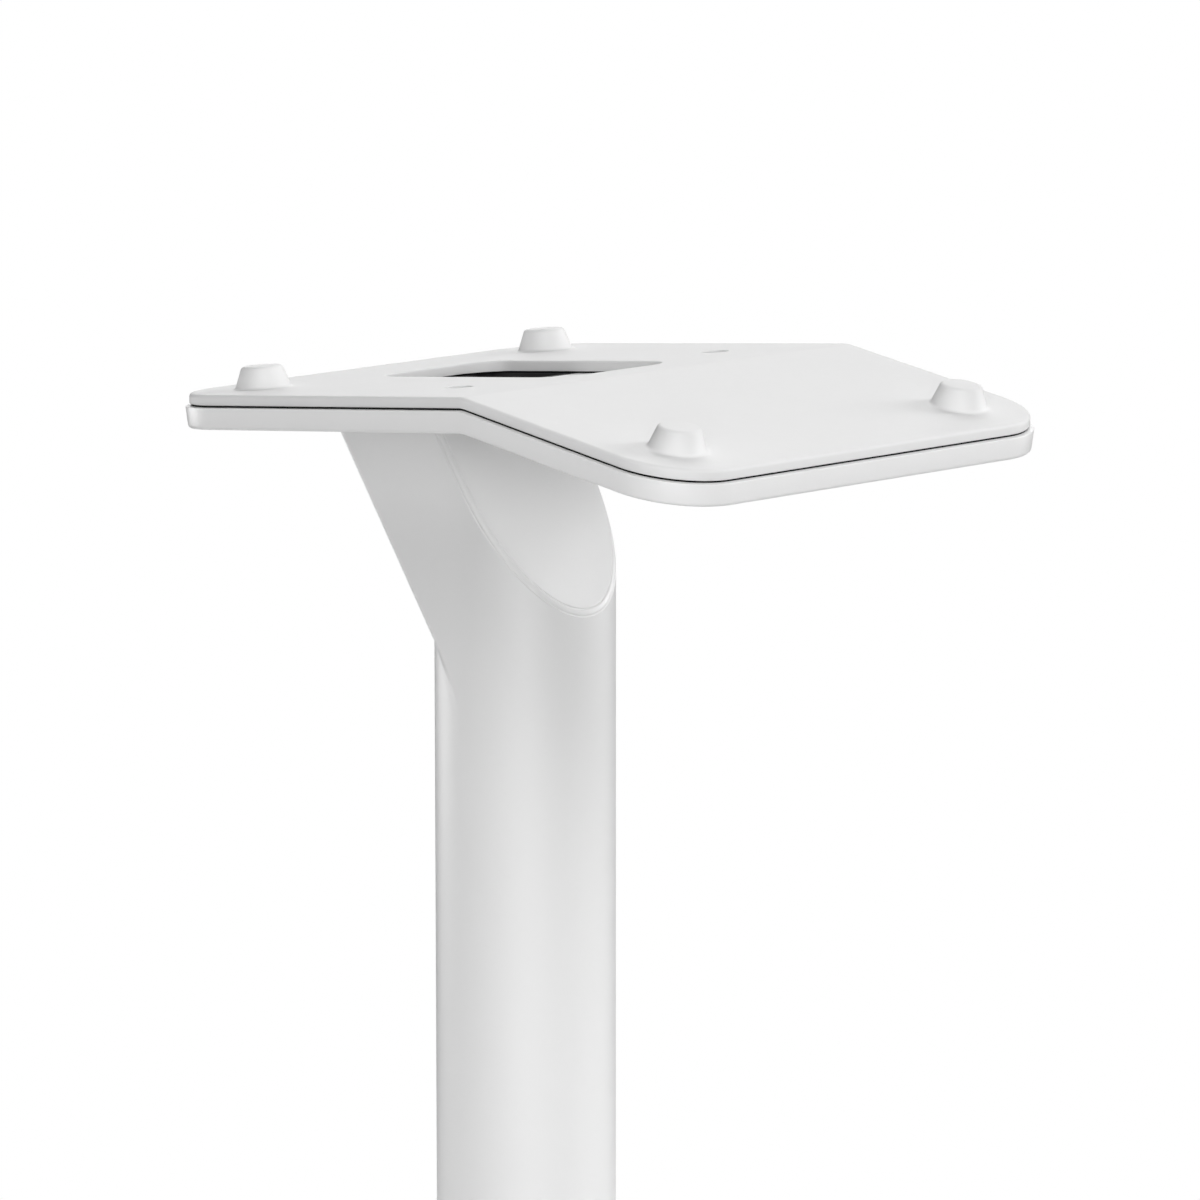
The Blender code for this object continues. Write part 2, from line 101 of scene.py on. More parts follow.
# The head's radius and depth, the shank's radius, the length, and the socket across its flats.
PLATE_SCREW_SIZES = (0.0050, 0.0026, 0.0025, 0.0083, 0.0032)
FOOT_BOLT_SIZES = (0.0060, 0.0033, 0.0030, 0.0200, 0.0044)
SCREW_TIP = 0.0006
SCREW_EDGE = 0.0002
SHANK_HOLE_RADIUS = 0.0028
GAP = 0.0003

STUD_REACH = STUD_BASE_RADIUS + STUD_ROOT + 0.0010  # within this far, the folded head stays square
PAD_HOLE_REACH = 0.0055                             # to a stud, hole or screw
PLATE_HOLE_REACH = 0.0060
PLATE_SCREW_REACH = 0.0080
FLANGE_SCREW_REACH = 0.0050

# ---------------------------------------------------------------- sizes of neck, pole and base
POLE_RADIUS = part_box("pole_tube")[1].x
POLE_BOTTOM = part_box("pole_tube")[0].z
WALL = 0.0025
FRONT_LEAN = radians(34.08)     # the neck's front and rear planes lean back from vertical
REAR_LEAN = radians(34.6)
FRONT_CUT_Y = 0.01776           # where the front plane meets the ridge level
REAR_CUT_Y = 0.05698            # where the rear plane does
NECK_EDGE = 0.0016              # rounding along the cheeks' rear edges
BEAD_WIDTH = 0.0024             # the same along the front face, with a groove to each side
GROOVES = (0.16, 0.84)          # where the grooves lie across that width
GROOVE_SPREAD = 0.09
GROOVE_DEPTH = 0.00018
WELD_FILLET = 0.0015            # where the neck's rear wall meets the pole
EDGE_FADE = 0.0050              # the cheeks' rear edges fade out over this
LOFT_DEPTH = 0.0920             # the neck's level sections start this far below the ridge
LOFT_STEP = 0.0007
LOFT_ROWS = 70
LOFT_ABOVE = 0.0200             # the stock reaches this far above the ridge, before it is cut
CHEEK_STEPS = 10                # facets on a cheek, from the front to its rear edge
EDGE_ROWS = 12                  # points across that edge
REAR_STEPS = 28                 # facets from there to the middle of the rear wall
EDGE_SPREAD = radians(4)        # half the angle that the edge takes in a section
HALVINGS = 30                   # steps of the search for the surface
CUT_BELOW, CUT_ABOVE = 0.15, 0.05       # how far the neck's cutters reach past the ridge level
CUT_FAR = 0.2                   # and how far out
BORE_DEPTH = 0.075              # how far back the bore reaches, before its own cuts
BORE_ABOVE = 0.03               # and how far above the ridge level
CUT_WIDTH = 0.05
OVERSHOOT = 0.005
SAME_WAY = 0.9999               # cosine above which two directions are the same
SHARP_ANGLE = radians(25)       # edges that bend more than this are shaded as edges
BASE_LOW, BASE_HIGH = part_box("base_plate")
BASE_EDGES = (0.0008, 0.0016)   # rounding below and above
BASE_SHEET_EDGE = 0.0005
BOLT_HOLE_RADIUS = 0.0033
BOLT_HEAD_RADIUS = 0.0063       # of the countersink, which is as deep as the head
EXIT_HEIGHT = 0.0560
EXIT_HALF_WIDTH = 0.0065
EXIT_HALF_HEIGHT = 0.0105
EXIT_EDGE = 0.0006
EXIT_WALL = 0.0015
EXIT_CUT = (-0.04, -0.01)       # its cutter's ends, before EXIT_PLACE turns them to the back

EXIT_PLACE = Matrix.Translation((0, 0, EXIT_HEIGHT)) @ Matrix.Rotation(pi / 2, 4, "X")
BOLT_CIRCLE = 0.0125
FOOT_BOLTS = tuple((BOLT_CIRCLE * cos(pi / 4 + turn * pi / 2),
                    BOLT_CIRCLE * sin(pi / 4 + turn * pi / 2)) for turn in range(4))

CORNER_STEPS = 16               # facets on a quarter turn of an outline's corner
EDGE_STEPS = 5                  # facets across a rounded edge
ROUND_STEPS = 128               # facets on a full turn of a large round piece
SMALL_STEPS = 48
BASE_STEPS = 192
BEAD_STEPS = 16
SUPPORT = 0.0005                # width of the flat strip that borders each rounded edge
SAME_PLACE = 0.000005           # points closer than this are one point
TOUCHING = 0.000001             # and closer than this to a plane is on it

# ---------------------------------------------------------------- finish, light and camera
COAT_COLOUR = (0.78, 0.78, 0.78)
COAT_ROUGHNESS = 0.42
PAD_COLOUR = (0.71, 0.71, 0.71)
PAD_ROUGHNESS = 0.60

CAMERA_AZIMUTH = -45
CAMERA_ELEVATION = 10
CAMERA_DISTANCE = 1.610904
CAMERA_RIGHT = 0.0185287        # the view's middle, from the pole's axis at the ridge's level
CAMERA_UP = -0.0584629
CAMERA_LENS = 196.489           # millimetres, on a sensor of this width
CAMERA_SENSOR = 36.0

FLOOR_RADIUS = 0.74
# Painted light: over these radii the floor's emission rises from none to FLOOR_GLOW, so the floor
# glows though it is no lamp.
FLOOR_GLOW_RAMP = (0.50, 0.72)       # where the floor turns into the white of the studio
# Emission strength of the floor's painted glow at its rim.
FLOOR_GLOW = 0.18
LIT_HEIGHT = 0.33               # the height that every softbox points at
# Name, degrees right of the camera, degrees up, distance, width, height, brightness.
SOFTBOXES = (
    ("front", 0, 10, 2.2, 0.9, 0.9, 9.1),
    ("front_high", 5, 45, 2.0, 1.2, 0.8, 6.8),
    ("right_high", 80, 40, 2.0, 1.0, 1.0, 1.4),
    ("right", 115, 15, 2.2, 0.8, 1.4, 9.2),
    ("back", 180, 12, 2.4, 1.6, 1.2, 2.1),
    ("back_high", 180, 45, 2.4, 1.6, 1.2, 3.6),
    ("back_left", -122, -3, 1.5, 0.8, 0.4, 8.2),
)


# ---------------------------------------------------------------- outlines and rings
def rounded_outline(half_width, front, rear, radius, grow=0.0):
    """A rounded rectangle, anticlockwise, grown by an offset."""
    half_width, front, rear, radius = half_width + grow, front - grow, rear + grow, radius + grow
    points = []
    corners = ((half_width - radius, rear - radius, 0), (radius - half_width, rear - radius, 90),
               (radius - half_width, front + radius, 180), (half_width - radius, front + radius, 270))
    for centre_x, centre_y, start in corners:
        for step in range(CORNER_STEPS + 1):
            angle = radians(start + 90 * step / CORNER_STEPS)
            points.append((centre_x + radius * cos(angle), centre_y + radius * sin(angle)))
    return points


def circle_outline(centre, radius, steps=SMALL_STEPS):
    """A circle, anticlockwise."""
    return [(centre[0] + radius * cos(2 * pi * step / steps),
             centre[1] + radius * sin(2 * pi * step / steps)) for step in range(steps)]


def arc(centre, radius, start, end):
    """Points of an arc in (offset, height), from one angle to another in degrees."""
    angles = [radians(start + (end - start) * step / EDGE_STEPS)
              for step in range(EDGE_STEPS + 1)]
    return [(centre[0] + radius * cos(angle), centre[1] + radius * sin(angle)) for angle in angles]


def rings(outline, profile):
    """The outline at each (offset, height) of a profile. outline(offset) gives its points."""
    return [[(x, y, height) for x, y in outline(offset)] for offset, height in profile]


def block_profile(bottom, top, lower_edge, upper_edge):
    """The side of a slab, bottom to top, with both edges rounded."""
    return [(-lower_edge - SUPPORT, bottom),
            *arc((-lower_edge, bottom + lower_edge), lower_edge, -90, 0),
            *arc((-upper_edge, top - upper_edge), upper_edge, 0, 90),
            (-upper_edge - SUPPORT, top)]


def hole_profile(bottom, top, lower_edge, upper_edge):
    """The wall of an opening, bottom to top, with both edges rounded."""
    return [(lower_edge + SUPPORT, bottom),
            *arc((lower_edge, bottom + lower_edge), lower_edge, 270, 180),
            *arc((upper_edge, top - upper_edge), upper_edge, 180, 90),
            (upper_edge + SUPPORT, top)]


# ---------------------------------------------------------------- meshes
def skin(shape, rows, wrap=False):
    """Quads between rings of equal length. Returns the rings' vertices."""
    rows = [[shape.verts.new(point) for point in row] for row in rows]
    for low, high in zip(rows, rows[1:] + rows[:1] if wrap else rows[1:]):
        for first in range(len(low)):
            second = (first + 1) % len(low)
            shape.faces.new((low[first], low[second], high[second], high[first]))
    return rows


def loop_edges(shape, row):
    """The edges along a closed row of points."""
    return [shape.edges.get((row[i], row[(i + 1) % len(row)])) for i in range(len(row))]


def weld_points(shape):
    """Join points that coincide, and drop the faces that then have no area."""
    bmesh.ops.remove_doubles(shape, verts=shape.verts, dist=SAME_PLACE)
    bmesh.ops.dissolve_degenerate(shape, edges=shape.edges, dist=SAME_PLACE)


def finish_mesh(name, shape, change=None):
    """Turn a bmesh into an object, after moving each of its points with change()."""
    if change:
        for vertex in shape.verts:
            vertex.co = change(vertex.co)
    weld_points(shape)
    bmesh.ops.recalc_face_normals(shape, faces=shape.faces)
    mesh = bpy.data.meshes.new(name)
    shape.to_mesh(mesh)
    shape.free()
    mesh.shade_smooth()
    obj = bpy.data.objects.new(name, mesh)
    bpy.context.scene.collection.objects.link(obj)
    return obj


def slab(name, outer, openings=(), bosses=(), change=None, creased=False):
    """A flat piece: a swept edge, openings, and bosses that stand on its top. A creased one
    has rows of points along the ridge, so that change() can fold it there."""
    shape = bmesh.new()
    bottom_edges, top_edges = [], []
    for rows in (outer, *openings):
        rows = skin(shape, rows)
        bottom_edges += loop_edges(shape, rows[0])
        top_edges += loop_edges(shape, rows[-1])
    for rows in bosses:
        rows = skin(shape, rows)
        top_edges += loop_edges(shape, rows[0])
        shape.faces.new(rows[-1])
    for edges in (bottom_edges, top_edges):
        bmesh.ops.triangle_fill(shape, edges=edges, use_beauty=True, use_dissolve=False)
    if creased:
        for offset in RIDGE_CUTS:
            everything = shape.verts[:] + shape.edges[:] + shape.faces[:]
            bmesh.ops.bisect_plane(shape, geom=everything, dist=TOUCHING, plane_no=(0, 1, 0),
                                   plane_co=(0, RIDGE_Y + offset * RIDGE_ROUND, 0))
    return finish_mesh(name, shape, change)


def fold_height(y):
    """Height of the adhesive's middle at y: two slopes with a rounded crease between them."""
    distance = y - RIDGE_Y
    reach = abs(distance)
    if reach < RIDGE_ROUND:
        reach = reach ** 2 / (2 * RIDGE_ROUND) + RIDGE_ROUND / 2
    mean_slope = (tan(FRONT_FALL) - tan(REAR_FALL)) / 2
    half_bend = (tan(FRONT_FALL) + tan(REAR_FALL)) / 2
    return RIDGE_Z + mean_slope * distance - half_bend * reach


def folder(round_features=()):
    """A function that folds a flat point. Points within a round feature, given as centre and
    reach, turn with their wing as one, so that the feature stands square to it."""
    def fold_point(point):
        for (x, y), reach in round_features:
            if hypot(point.x - x, point.y - y) < reach:
                turn = -REAR_FALL if y > RIDGE_Y else FRONT_FALL
                local = Vector((point.x - x, point.y - y, point.z * cos(turn)))
                return Matrix.Rotation(turn, 3, "X") @ local + Vector((x, y, fold_height(y)))
        return Vector((point.x, point.y, fold_height(point.y) + point.z))
    return fold_point


# ---------------------------------------------------------------- the head
def pad_outline(grow):
    """The head's outline, which the pad, the adhesive and the plate share."""
    return rounded_outline(PAD_HIGH.x, PAD_LOW.y, PAD_HIGH.y, PAD_CORNER, grow)


def hole_rings(centres, radius, profile):
    """A round opening at each centre. The profile's offsets count from the radius."""
    return [rings(lambda grow, centre=centre: circle_outline(centre, radius + grow), profile)
            for centre in centres]


def make_pad():
    """The soft pad, with four studs, the cable slot and two holes for a device's screws."""
    root_end = STUD_BASE_RADIUS + STUD_ROOT
    stud = [(root_end + SUPPORT, PAD_TOP),
            *arc((root_end, PAD_TOP + STUD_ROOT), STUD_ROOT, 270, 180 + STUD_DRAFT),
            *arc((STUD_TOP_RADIUS - STUD_EDGE * (1 - STUD_EDGE_PROUD),
                  PAD_TOP + STUD_HEIGHT - STUD_EDGE), STUD_EDGE, STUD_DRAFT, 90),
            (STUD_TOP_RADIUS - STUD_EDGE - SUPPORT, PAD_TOP + STUD_HEIGHT),
            (STUD_TOP_RADIUS / 3, PAD_TOP + STUD_HEIGHT)]
    hole = hole_profile(PAD_BOTTOM, PAD_TOP, FINE_EDGE, FINE_EDGE)
    features = [(centre, STUD_REACH) for centre in STUDS]
    features += [(centre, PAD_HOLE_REACH) for centre in DEVICE_HOLES]
    return slab(
        "soft_pad",
        rings(pad_outline, block_profile(PAD_BOTTOM, PAD_TOP, SMALL_EDGE, PAD_EDGE)),
        [rings(lambda grow: rounded_outline(*SLOT, grow),
               hole_profile(PAD_BOTTOM, PAD_TOP, FINE_EDGE, SLOT_EDGE))]
        + hole_rings(DEVICE_HOLES, PAD_HOLE_RADIUS, hole),
        hole_rings(STUDS, 0, stud),
        folder(features), True)


def make_adhesive():
    """It fills the gap between pad and plate, and keeps back a little from their edges."""
    bottom = PLATE_TOP + ADHESIVE_GAP
    top = PAD_BOTTOM - ADHESIVE_GAP
    hole = hole_profile(bottom, top, ADHESIVE_EDGE, ADHESIVE_EDGE)
    return slab(
        "adhesive_sheet",
        rings(lambda grow: pad_outline(grow - ADHESIVE_INSET),
              block_profile(bottom, top, ADHESIVE_EDGE, ADHESIVE_EDGE)),
        [rings(lambda grow: rounded_outline(*SLOT, grow + ADHESIVE_INSET), hole)]
        + hole_rings(DEVICE_HOLES, PAD_HOLE_RADIUS + ADHESIVE_INSET, hole),
        (), folder([(centre, PAD_HOLE_REACH) for centre in DEVICE_HOLES]), True)


def screw_hole_profile(bottom, head_top, top):
    """A countersunk hole, as offsets from the shank's clearance radius."""
    head_depth = PLATE_SCREW_SIZES[1]
    return [(SMALL_EDGE + SUPPORT, bottom), (SMALL_EDGE, bottom), (0, bottom + SMALL_EDGE),
            (0, head_top - head_depth), (head_depth - FINE_EDGE, head_top - FINE_EDGE),
            (head_depth + SMALL_EDGE, top), (head_depth + SMALL_EDGE + SUPPORT, top)]


def make_plate():
    """The folded plate. Its sides taper in a little towards the underside."""
    side = [(PLATE_FOOT_MARGIN - PLATE_EDGE - SUPPORT, PLATE_BOTTOM),
            *arc((PLATE_FOOT_MARGIN - PLATE_EDGE, PLATE_BOTTOM + PLATE_EDGE), PLATE_EDGE, -90, 0),
            *arc((PLATE_MARGIN - SMALL_EDGE / 2, PLATE_TOP - SMALL_EDGE / 2), SMALL_EDGE / 2, 0, 90),
            (PLATE_MARGIN - SMALL_EDGE / 2 - SUPPORT / 2, PLATE_TOP)]
    cable_hole = hole_profile(PLATE_BOTTOM, PLATE_TOP, SMALL_EDGE, SMALL_EDGE)
    screw_hole = screw_hole_profile(PLATE_BOTTOM, PLATE_TOP - GAP, PLATE_TOP)
    features = [(centre, PLATE_SCREW_REACH) for centre in PLATE_SCREWS]
    features += [(centre, PLATE_HOLE_REACH) for centre in DEVICE_HOLES]
    return slab(
        "folded_plate",
        rings(pad_outline, side),
        [rings(lambda grow: rounded_outline(*GROMMET, GAP + grow), cable_hole)]
        + hole_rings(DEVICE_HOLES, PLATE_HOLE_RADIUS, cable_hole)
        + hole_rings(PLATE_SCREWS, SHANK_HOLE_RADIUS, screw_hole),
        (), folder(features), True)


def ring_section(bottom, top, wall, edge):
    """The section of a liner, anticlockwise from its outer top edge, all edges rounded."""
    return (arc((-edge, top - edge), edge, 0, 90) + arc((edge - wall, top - edge), edge, 90, 180)
            + arc((edge - wall, bottom + edge), edge, 180, 270)
            + arc((-edge, bottom + edge), edge, 270, 360))


def make_cable_liner():
    """The liner of the plate's cable hole."""
    shape = bmesh.new()
    skin(shape, rings(lambda grow: rounded_outline(*GROMMET, grow),
                      ring_section(PLATE_BOTTOM, PLATE_TOP, GROMMET_WALL, GROMMET_EDGE)),
         wrap=True)
    return finish_mesh("cable_hole_liner", shape, folder())


def make_flange():
    """The flange on top of the neck, which the plate's screws hold."""
    hole = [(SMALL_EDGE + SUPPORT, FLANGE_BOTTOM), (SMALL_EDGE, FLANGE_BOTTOM),
            (0, FLANGE_BOTTOM + SMALL_EDGE), (0, FLANGE_TOP - SMALL_EDGE), (SMALL_EDGE, FLANGE_TOP),
            (SMALL_EDGE + SUPPORT, FLANGE_TOP)]
    return slab(
        "welded_flange",
        rings(lambda grow: rounded_outline(*FLANGE, grow),
              block_profile(FLANGE_BOTTOM, FLANGE_TOP, FLANGE_EDGE, FLANGE_EDGE)),
        [rings(lambda grow: rounded_outline(*FLANGE_HOLE, grow),
               hole_profile(FLANGE_BOTTOM, FLANGE_TOP, SMALL_EDGE, SMALL_EDGE))]
        + hole_rings(PLATE_SCREWS, SHANK_HOLE_RADIUS, hole),
        (), folder([(centre, FLANGE_SCREW_REACH) for centre in PLATE_SCREWS]))


# ---------------------------------------------------------------- neck and pole
def extruded(name, outline, bottom, top):
    """A plain prism, used as stock or as a cutter."""
    shape = bmesh.new()
    low, high = skin(shape, rings(lambda offset: outline, [(0, bottom), (0, top)]))
    shape.faces.new(low)
    shape.faces.new(high)
    return finish_mesh(name, shape)


def side_extruded(name, outline, half_width):
    """A prism drawn in Y and Z, across the stand's middle."""
    obj = extruded(name, outline, -half_width, half_width)
    obj.data.transform(Matrix(((0, 0, 1, 0), (1, 0, 0, 0), (0, 1, 0, 0), (0, 0, 0, 1))))
    return obj


def cut_away(obj, other):
    """Cut another object's space out of this one, and remove the other object."""
    modifier = obj.modifiers.new("cut", "BOOLEAN")
    modifier.operation = "DIFFERENCE"
    modifier.solver = "EXACT"
    modifier.object = other
    apply_modifiers(obj)
    bpy.data.objects.remove(other)


def apply_modifiers(obj):
    """Replace the mesh with what its modifiers make of it."""
    bpy.context.view_layer.update()
    evaluated = obj.evaluated_get(bpy.context.evaluated_depsgraph_get())
    mesh = bpy.data.meshes.new_from_object(evaluated)
    obj.modifiers.clear()
    obj.data = mesh


def front_space(cut):
    """Everything in front of a plane parallel to the neck's front face."""
    low, high = RIDGE_Z - CUT_BELOW, RIDGE_Z + CUT_ABOVE
    outline = [(cut + (z - RIDGE_Z) * tan(FRONT_LEAN), z) for z in (low, high)]
    return side_extruded("front_space", outline + [(-CUT_FAR, high), (-CUT_FAR, low)],
                         CUT_FAR / 4)


def half_circle(radius, start):
    """Points of half a circle about the pole's axis, anticlockwise from an angle."""
    half = ROUND_STEPS // 2
    return [(radius * cos(start + pi * step / half), radius * sin(start + pi * step / half))
            for step in range(half + 1)]


def neck_bore():
    """The room inside the pole and the neck, which their walls surround."""
    radius = POLE_RADIUS - WALL
    bottom = POLE_BOTTOM - 2 * OVERSHOOT
    bore = extruded("bore", half_circle(radius, pi) + [(radius, BORE_DEPTH), (-radius, BORE_DEPTH)],
                    bottom, RIDGE_Z + BORE_ABOVE)
    cut_away(bore, front_space(FRONT_CUT_Y + WALL / cos(FRONT_LEAN)))
    low, high = RIDGE_Z - CUT_BELOW, RIDGE_Z + CUT_ABOVE
    rear_corners = [(-CUT_WIDTH, 0), (-CUT_WIDTH, CUT_FAR), (CUT_WIDTH, CUT_FAR), (CUT_WIDTH, 0)]
    behind = extruded("rear_space", half_circle(radius, 0) + rear_corners, bottom - OVERSHOOT,
                      high - OVERSHOOT)
    rear_cut = REAR_CUT_Y - WALL / cos(REAR_LEAN)
    rear_plane = [(rear_cut + (z - RIDGE_Z) * tan(REAR_LEAN), z) for z in (low, high)]
    cut_away(behind, side_extruded("neck_space", [(-CUT_FAR, low)] + rear_plane
                                  + [(-CUT_FAR, high)], 2 * CUT_WIDTH))
    cut_away(bore, behind)
    return bore


def cap_neck(block):
    """Cut the neck off under the flange."""
    level = fold_height(0) + FLANGE_BOTTOM - GAP
    reach = 0.1
    cap = [(-reach, level + reach * tan(REAR_FALL)), (reach, level - reach * tan(REAR_FALL)),
           (reach, RIDGE_Z + reach), (-reach, RIDGE_Z + reach)]
    cut_away(block, side_extruded("head_space", cap, reach / 2))


def fade(value, full):
    """0 at 0 and below, 1 at full and above, and smooth between."""
    share = min(max(value / full, 0), 1)
    return share * share * (3 - 2 * share)


def outside_neck(x, y, z):
    """How far a point is outside the pole and the uncut neck. The weld line behind the neck
    and the cheeks' rear edges are rounded, and fade into the pole where the cheeks end."""
    pole = hypot(x, y) - POLE_RADIUS
    section = abs(x) - POLE_RADIUS if y > 0 else pole
    rear = (y - REAR_CUT_Y) * cos(REAR_LEAN) - (z - RIDGE_Z) * sin(REAR_LEAN)
    weld = WELD_FILLET
    behind = max(weld, min(rear, pole)) - hypot(max(weld - rear, 0), max(weld - pole, 0))
    edge = NECK_EDGE * fade(y, EDGE_FADE) * fade(EDGE_FADE - rear, EDGE_FADE)
    return min(-edge, max(section, behind)) + hypot(max(edge + section, 0), max(edge + behind, 0))


def neck_section_ring(z):
    """The outline of the pole and the uncut neck at one height, anticlockwise."""
    rear_y = REAR_CUT_Y + (z - RIDGE_Z) * tan(REAR_LEAN)
    centre_y = max(rear_y - POLE_RADIUS, -POLE_RADIUS / 2)
    start = atan2(-centre_y, POLE_RADIUS)
    edge_start, edge_end = pi / 4 - EDGE_SPREAD, pi / 4 + EDGE_SPREAD
    angles = [start + (edge_start - start) * step / CHEEK_STEPS for step in range(1, CHEEK_STEPS)]
    angles += [pi / 4 + EDGE_SPREAD * (2 * step / EDGE_ROWS - 1) for step in range(EDGE_ROWS)]
    angles += [edge_end + (pi / 2 - edge_end) * step / REAR_STEPS for step in range(REAR_STEPS)]
    angles += [pi / 2] + [pi - angle for angle in reversed(angles)]
    ring = []
    for angle in angles:
        near, far = 0.0, 4 * POLE_RADIUS
        for _ in range(HALVINGS):
            middle = (near + far) / 2
            if outside_neck(middle * cos(angle), centre_y + middle * sin(angle), z) > 0:
                far = middle
            else:
                near = middle
        ring.append((near * cos(angle), centre_y + near * sin(angle), z))
    return [(x, y, z) for x, y in half_circle(POLE_RADIUS, pi)] + ring


def neck_stock():
    """The pole and the neck before the front cut, as a loft of level sections."""
    levels = [POLE_BOTTOM] + [RIDGE_Z - LOFT_DEPTH + LOFT_STEP * step for step in range(LOFT_ROWS)]
    shape = bmesh.new()
    rows = skin(shape, [neck_section_ring(z) for z in levels + [RIDGE_Z + LOFT_ABOVE]])
    shape.faces.new(rows[0])
    shape.faces.new(rows[-1])
    shape.normal_update()
    bmesh.ops.dissolve_limit(shape, angle_limit=radians(0.05), verts=shape.verts,
                             edges=shape.edges)
    return finish_mesh("pole_and_neck", shape)


def bead_edge(shape, level):
    """Sink a shallow groove along each side of the rounded edge, with a bead between them."""
    shape.normal_update()
    for vertex in shape.verts:
        x, y, z = vertex.co
        from_front = cos(FRONT_LEAN) * (y - FRONT_CUT_Y) - sin(FRONT_LEAN) * (z - RIDGE_Z)
        from_side = POLE_RADIUS - (hypot(x, y) if y < 0 else abs(x))
        if min(from_front, from_side) < TOUCHING or max(from_front, from_side) > BEAD_WIDTH:
            continue
        across = sqrt(from_front) / (sqrt(from_front) + sqrt(from_side))
        sink = sum(exp(-((across - middle) / GROOVE_SPREAD) ** 2) for middle in GROOVES)
        way = vertex.normal.copy()
        if any(face.normal.dot(level) > SAME_WAY for face in vertex.link_faces):
            way -= way.dot(level) * level
        vertex.co -= way.normalized() * sink * GROOVE_DEPTH


def round_front_edge(block):
    """Round the edge between the neck's front face and everything beside it."""
    shape = bmesh.new()
    shape.from_mesh(block.data)
    front = Vector((0, -cos(FRONT_LEAN), sin(FRONT_LEAN)))
    level = Vector((0, sin(REAR_FALL), cos(REAR_FALL)))
    edges = []
    for edge in shape.edges:
        fronts = [face.normal.dot(front) > SAME_WAY for face in edge.link_faces]
        tops = [face.normal.dot(level) > SAME_WAY for face in edge.link_faces]
        if fronts.count(True) == 1 and not any(tops):
            edges.append(edge)
    bmesh.ops.bevel(shape, geom=edges, offset=BEAD_WIDTH, offset_type="WIDTH", affect="EDGES",
                    segments=BEAD_STEPS, profile=0.5, clamp_overlap=False, loop_slide=True)
    bead_edge(shape, level)
    shape.to_mesh(block.data)
    shape.free()


def make_pole_and_neck():
    """The welded and painted pole and neck, as one hollow skin."""
    block = neck_stock()
    cut_away(block, front_space(FRONT_CUT_Y))
    cap_neck(block)
    round_front_edge(block)
    cut_away(block, neck_bore())
    hole = extruded("exit_hole", rounded_outline(EXIT_HALF_WIDTH + GAP, -EXIT_HALF_HEIGHT - GAP,
                                                 EXIT_HALF_HEIGHT + GAP, EXIT_HALF_WIDTH + GAP),
                    *EXIT_CUT)
    hole.data.transform(EXIT_PLACE)
    cut_away(block, hole)
    shape = bmesh.new()
    shape.from_mesh(block.data)
    weld_points(shape)
    shape.to_mesh(block.data)
    shape.free()
    block.data.set_sharp_from_angle(angle=SHARP_ANGLE)
    weighted = block.modifiers.new("normals", "WEIGHTED_NORMAL")
    weighted.keep_sharp = True
    weighted.weight = 100
    apply_modifiers(block)
    return block


# ---------------------------------------------------------------- base, cable exit and screws
def make_base():
    """The round base plate, with countersunk holes for the bolts in its underside."""
    bottom, top = BASE_LOW.z, BASE_HIGH.z
    head = BOLT_HEAD_RADIUS - BOLT_HOLE_RADIUS
    bolt_hole = [(head + SUPPORT, bottom), (head, bottom), (head, bottom + GAP),
                 (0, bottom + FOOT_BOLT_SIZES[1]), (0, top - SMALL_EDGE), (SMALL_EDGE, top),
                 (SMALL_EDGE + SUPPORT, top)]
    return slab(
        "weighted_base",
        rings(lambda grow: circle_outline((0, 0), BASE_HIGH.x + grow, BASE_STEPS),
              block_profile(bottom, top, *BASE_EDGES)),
        hole_rings(FOOT_BOLTS, BOLT_HOLE_RADIUS, bolt_hole))


def make_base_sheet():
    """The rubber sheet that the stand rests on."""
    low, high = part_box("base_sheet")
    return slab("rubber_sheet",
                rings(lambda grow: circle_outline((0, 0), high.x + grow, BASE_STEPS),
                      block_profile(low.z, high.z, BASE_SHEET_EDGE, BASE_SHEET_EDGE)))


def make_exit_sleeve():
    """The liner of the cable exit in the pole's back, drawn flat and then stood up."""
    low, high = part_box("exit_grommet")
    shape = bmesh.new()
    skin(shape, rings(lambda grow: rounded_outline(EXIT_HALF_WIDTH, -EXIT_HALF_HEIGHT,
                                                   EXIT_HALF_HEIGHT, EXIT_HALF_WIDTH, grow),
                      ring_section(-high.y, -low.y, EXIT_WALL, EXIT_EDGE)), wrap=True)
    sleeve = finish_mesh("exit_sleeve", shape)
    sleeve.data.transform(EXIT_PLACE)
    return sleeve


def hexagon_outline(across):
    """A hexagon with as many points as a small circle, so that the two can be joined."""
    points = []
    for step in range(SMALL_STEPS):
        angle = 2 * pi * step / SMALL_STEPS
        reach = across / 2 / cos((angle + pi / 6) % (pi / 3) - pi / 6)
        points.append((reach * cos(angle), reach * sin(angle)))
    return points


def make_screw(name, sizes, place):
    """A countersunk screw with a hexagon socket, its head's top at height 0."""
    head_radius, head_depth, shank_radius, length, across = sizes
    profile = [(shank_radius / 3, -length), (shank_radius - SCREW_TIP, -length),
               (shank_radius, SCREW_TIP - length), (shank_radius, -head_depth),
               (head_radius, -SCREW_EDGE), (head_radius - SCREW_EDGE, 0), (across * 0.7, 0)]
    rows = rings(lambda radius: circle_outline((0, 0), radius), profile)
    rows += [[(x, y, height) for x, y in hexagon_outline(width)]
             for width, height in ((across, -SCREW_EDGE), (across, -head_depth * 0.7),
                                   (across / 4, -head_depth * 0.75))]
    shape = bmesh.new()
    rows = skin(shape, rows)
    shape.faces.new(rows[0])
    shape.faces.new(rows[-1])
    screw = finish_mesh(name, shape)
    screw.data.set_sharp_from_angle(angle=SHARP_ANGLE)
    screw.matrix_world = place
    return screw


